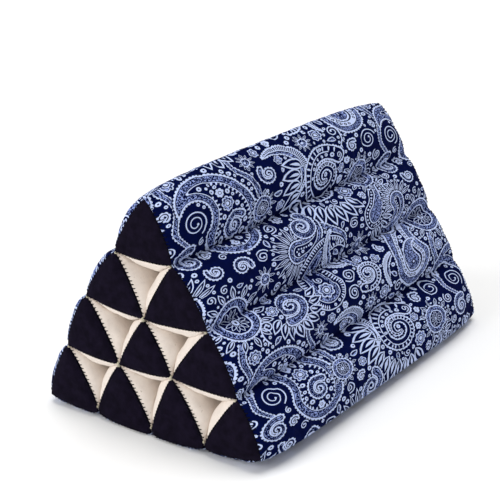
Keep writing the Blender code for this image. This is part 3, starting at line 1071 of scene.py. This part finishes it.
THREAD_RADIUS = 0.0006
STITCH_DEPTHS = (0.0005, 0.0005, 0.0017)  # how far the stitches of a tube's left, lower and right side reach
STITCH_REACH = (0.0019, 0.0026)  # how far they reach over the dark cloth
KNOT_SPREAD = {"inside": 0.0024, "at_cover": 0.0013}
KNOT_HEIGHT = {"inside": 0.0010, "at_cover": 0.0004}


def thread_mesh(paths, radius, sides):
    """Round threads with closed ends along paths of points."""
    points, faces = [], []
    turns = np.linspace(0, math.tau, sides, endpoint=False)
    for path in paths:
        path = np.asarray(path, float)
        way = np.gradient(path, axis=0)
        way /= np.linalg.norm(way, axis=1, keepdims=True)
        aid = np.array([0.0, 0.0, 1.0]) if abs(way[0, 2]) < 0.8 else np.array([0.0, 1.0, 0.0])
        first = len(points)
        for k, (place, along) in enumerate(zip(path, way)):
            side = np.cross(along, aid)
            side /= np.linalg.norm(side)
            other = np.cross(along, side)
            thin = 0.6 if k in (0, len(path) - 1) else 1.0
            for turn in turns:
                points.append(place + radius * thin * (math.cos(turn) * side + math.sin(turn) * other))
        for k in range(len(path) - 1):
            for j in range(sides):
                a, b = first + k * sides + j, first + k * sides + (j + 1) % sides
                faces.append((a, b, b + sides, a + sides))
        faces.append(tuple(first + j for j in range(sides))[::-1])
        faces.append(tuple(first + (len(path) - 1) * sides + j for j in range(sides)))
    return points, faces


def smooth_path(points, steps):
    """More points along a path, on a smooth curve through the given ones."""
    points = np.asarray(points, float)
    at = np.linspace(0, len(points) - 1, (len(points) - 1) * steps + 1)
    padded = np.concatenate([[2 * points[0] - points[1]], points, [2 * points[-1] - points[-2]]])
    base = np.minimum(np.floor(at).astype(int), len(points) - 2)
    weights = curve_weights((at - base)[:, None])
    return sum(weight * padded[base + k] for k, weight in enumerate(weights))


def cover_lobe(row, column, side):
    """Which lobe of the cover, counted from the ridge, a tube's side is under, or None for a pocket wall."""
    if side == 0 and column == 0:
        return row - 1
    if side == 1 and row == ROWS:
        return ROWS + column
    if side == 2 and column == row - 1:
        return 3 * ROWS - row
    return None


def whip_stitches(row, column, out, grid):
    """Slanting stitches over the rim of a tube's end, from the dark cloth down on to the wall or the cover."""
    chance = random.Random(50 * row + 7 * column + (out > 0))
    face = out * LENGTH / 2
    feet = [out * (LENGTH / 2 - depth) for depth in STITCH_DEPTHS]
    middle = end_outline(row, column, out, CAP_INSET).mean(0)

    def on(line, at):
        return np.array([np.interp(at, RIM_SHARES, line[:, axis]) for axis in (0, 1)])

    paths = []
    for k, (points, normals, _) in enumerate(tube_sides(row, column, np.array([face] + feet), 0.0, 1.0)):
        lobe = cover_lobe(row, column, k)
        rim, wall, normal = points[0], points[1 + k], normals[1 + k]
        count = round(np.linalg.norm(rim[-1] - rim[0]) / PITCH_OF_STITCHES)
        slant = out * 0.22 / count
        for i in range(count):
            share = (i + 0.5 + chance.uniform(-0.08, 0.08)) / count
            if min(share, 1 - share) < 0.035:
                continue
            edge = on(rim, share)
            to_middle = (middle - edge) / np.linalg.norm(middle - edge)
            near = on(rim, share - slant) + to_middle * chance.uniform(*STITCH_REACH)
            if lobe is None:
                foot = np.array([feet[k], *(on(wall, share + slant) + normal * 0.0001)])
            else:
                foot = sample_cover(grid, np.array([feet[k]]), np.array([lobe + share + slant]))[0]
                foot[1:] += normal * 0.0002
            paths.append(smooth_path([
                (face + out * 0.0004, *near),
                (face + out * 0.0012, *((near + edge) / 2)),
                (face + out * 0.0002, *(edge + normals[0] * 0.0002)),
                ((foot[0] + face) / 2, *((foot[1:] + edge) / 2 + normals[0] * 0.0005)),
                foot,
            ], 2))
    above_floor = np.array([-LENGTH, -LENGTH, THREAD_RADIUS])
    return [np.maximum(path, above_floor) for path in paths]


def seam_knot(row, index, out):
    """The knot that ties the tubes together where their seams meet at an end: a few loops of thread."""
    chance = random.Random(900 + 10 * row + index + (out > 0))
    inside = 0 < index < row < ROWS
    kind = "inside" if inside else "at_cover"
    x = out * (LENGTH / 2 + KNOT_HEIGHT[kind])
    place = seam(row, index, np.array([out * LENGTH / 2]))[0]
    way = crease_way(row, index)
    if way is not None:
        place = place - way * UNDER_CREASE
    paths = []
    for k in range(4 if inside else 2):
        turn = math.pi * (k + 0.5) / 4 + chance.uniform(-0.25, 0.25)
        reach = KNOT_SPREAD[kind] * chance.uniform(0.75, 1.25)
        across = np.array([math.cos(turn), math.sin(turn)])
        beside = np.array([-across[1], across[0]])
        paths.append(smooth_path([
            (x - out * 0.0028, *(place - across * reach * 1.1)),
            (x + out * 0.0004, *(place - across * reach * 0.8)),
            (x + out * (0.0012 + 0.0003 * k), *(place + beside * 0.0002)),
            (x + out * 0.0004, *(place + across * reach * 0.8)),
            (x - out * 0.0028, *(place + across * reach * 1.1)),
        ], 3))
    return paths


# Materials

STIPPLE_PER_MM = 0.62
UV_UNIT_MM = 100  # the print's UV map counts tenths of a metre
GROUND_COLOR = (0.0005, 0.0030, 0.0400)
LIGHT_COLOR = (0.540, 0.630, 0.900)
MID_COLOR = (0.285, 0.368, 0.730)


def set_inputs(node, values):
    """Sets a node's inputs to values, or links them to other nodes' outputs."""
    for key, value in values.items():
        if isinstance(value, bpy.types.NodeSocket):
            node.id_data.links.new(value, node.inputs[key])
        else:
            node.inputs[key].default_value = value


def new_material(name):
    """A material, and the adding of nodes to it."""
    material = bpy.data.materials.new(name)
    material.use_nodes = True

    def add(kind, values, output, **settings):
        node = material.node_tree.nodes.new("ShaderNode" + kind)
        for key, value in settings.items():
            setattr(node, key, value)
        set_inputs(node, values)
        return node.outputs[output]

    return material, add


def cloth_material(name, color, variation, weave, sheen=0.0, fleck=None, stipple_color=None, uv=False):
    """Cotton: fine bump for its weave, a soft unevenness of colour, and on some a stipple or flecks."""
    material, add = new_material(name)
    place = add("TexCoord", {}, "UV" if uv else "Object")
    scale = UV_UNIT_MM / 1000 if uv else 1.0
    mottle = add("TexNoise", {"Vector": place, "Scale": 120.0 * scale, "Detail": 5.0}, "Fac")
    limits = {"From Min": 0.3, "From Max": 0.7, "To Min": 1.0 - variation, "To Max": 1.0 + variation}
    amount = add("MapRange", {"Value": mottle, **limits}, "Result")
    shade = add("VectorMath", {0: color, "Scale": amount}, "Vector", operation="SCALE")
    if fleck:
        spots = add("TexNoise", {"Vector": place, "Scale": 420.0 * scale, "Detail": 2.0}, "Fac")
        sharp = add("MapRange", {"Value": spots, "From Min": 0.70, "From Max": 0.76}, "Result")
        shade = add("Mix", {"Factor": sharp, "A": shade, "B": (*fleck, 1.0)}, "Result", data_type="RGBA")
    if stipple_color:
        stipple = {"Vector": place, "Scale": STIPPLE_PER_MM * UV_UNIT_MM, "Randomness": 0.8}
        edge = add("TexVoronoi", stipple, "Distance")
        sharp = add("MapRange", {"Value": edge, "From Min": 0.54, "From Max": 0.64}, "Result")
        dots = {"Factor": sharp, "A": (*stipple_color, 1.0), "B": shade}
        shade = add("Mix", dots, "Result", data_type="RGBA")
    threads = add("TexNoise", {"Vector": place, "Scale": 900.0 * scale, "Detail": 3.0}, "Fac")
    bump = add("Bump", {"Height": threads, "Strength": weave, "Distance": 0.0004}, "Normal")
    set_inputs(material.node_tree.nodes["Principled BSDF"], {
        "Base Color": shade,
        "Roughness": 0.9,
        "Specular IOR Level": 0.03,
        "Sheen Weight": sheen,
        "Sheen Roughness": 0.5,
        "Normal": bump,
    })
    return material


# The cushion

print_materials = [
    cloth_material("print_ground", GROUND_COLOR, 0.25, 0.25, uv=True),
    cloth_material("print_mid", MID_COLOR, 0.08, 0.25, stipple_color=GROUND_COLOR, uv=True),
    cloth_material("print_light", LIGHT_COLOR, 0.08, 0.25, uv=True),
]
calico = cloth_material("calico", (0.785, 0.702, 0.632), 0.04, 0.35, sheen=0.1, fleck=(0.50, 0.42, 0.35))
dark_cotton = cloth_material("dark_cotton", (0.0062, 0.0044, 0.0112), 0.35, 0.35)
pale_thread = cloth_material("pale_thread", (0.560, 0.520, 0.400), 0.15, 0.3)
black_thread = cloth_material("black_thread", (0.006, 0.006, 0.010), 0.2, 0.3)

# Each panel's name, where its repeat starts in millimetres, and its flat size
PANELS = (
    ("cover_left", (60, 40), (0.50, 0.36)),
    ("cover_base", (150, 90), (0.50, 0.34)),
    ("cover_right", (0, 0), (0.50, 0.36)),
)
ENDS = (("near", -1), ("far", 1))

cover = cover_grid()
print_shapes = repeat_shapes()
for place, (panel_name, phase, flat_size) in enumerate(PANELS):
    panel = printed_panel(panel_name, place, cover, print_shapes, phase, print_materials)

for tube_row in range(1, ROWS + 1):
    for tube_column in range(tube_row):
        calico_tube(tube_row, tube_column, calico)
        for end, out in ENDS:
            dark_triangle(tube_row, tube_column, end, out, dark_cotton)
        for end, out in ENDS:
            stitches = thread_mesh(whip_stitches(tube_row, tube_column, out, cover), THREAD_RADIUS, 5)
            mesh_object(f"stitches_{end}_{tube_row}_{tube_column + 1}", *stitches, [black_thread])

for end, out in ENDS:
    knots = [
        path
        for knot_row in range(1, ROWS + 1)
        for knot_index in range(knot_row + 1)
        if (knot_row, knot_index) not in CORNERS
        for path in seam_knot(knot_row, knot_index, out)
    ]
    mesh_object(f"knots_{end}", *thread_mesh(knots, THREAD_RADIUS, 6), [pale_thread])

# Stage

bpy.ops.mesh.primitive_plane_add(size=120)
floor = bpy.context.object
floor.name = "floor"
floor_material, _ = new_material("floor")
floor_look = {"Base Color": (0.96, 0.96, 0.96, 1), "Roughness": 1.0, "Specular IOR Level": 0.0}
set_inputs(floor_material.node_tree.nodes["Principled BSDF"], floor_look)
floor.data.materials.append(floor_material)

world = bpy.data.worlds.new("studio")
bpy.context.scene.world = world
world.use_nodes = True
set_inputs(world.node_tree.nodes["Background"], {"Color": (1, 1, 1, 1), "Strength": 0.38})


def compass(azimuth, elevation):
    """The way to something at an azimuth and elevation, in radians, as the camera's are counted."""
    level = math.cos(elevation)
    return Vector((math.sin(azimuth) * level, -math.cos(azimuth) * level, math.sin(elevation)))


def soft_sun(name, energy, azimuth, elevation, angle):
    light = bpy.data.lights.new(name, "SUN")
    light.energy = energy
    light.angle = math.radians(angle)
    lamp = bpy.data.objects.new(name, light)
    way = compass(math.radians(azimuth), math.radians(elevation))
    lamp.rotation_euler = way.to_track_quat("Z", "Y").to_euler()
    bpy.context.scene.collection.objects.link(lamp)


soft_sun("overhead", 1.95, 100, 85, 45)
soft_sun("front", 1.7, -120, 22, 50)

back = compass(CAMERA_AZIMUTH, CAMERA_ELEVATION)
level_right = Vector((math.cos(CAMERA_AZIMUTH), math.sin(CAMERA_AZIMUTH), 0))
level_up = back.cross(level_right)
right = level_right * math.cos(CAMERA_ROLL) + level_up * math.sin(CAMERA_ROLL)
up = level_up * math.cos(CAMERA_ROLL) - level_right * math.sin(CAMERA_ROLL)
camera_data = bpy.data.cameras.new("camera")
camera_data.sensor_width = 36
camera_data.lens = CAMERA_LENS
camera = bpy.data.objects.new("camera", camera_data)
camera_place = Matrix((right, up, back)).transposed().to_4x4()
camera_place.translation = CAMERA_TARGET + back * CAMERA_DISTANCE
camera.matrix_world = camera_place
bpy.context.scene.collection.objects.link(camera)
bpy.context.scene.camera = camera
bpy.context.scene.view_settings.view_transform = "Standard"
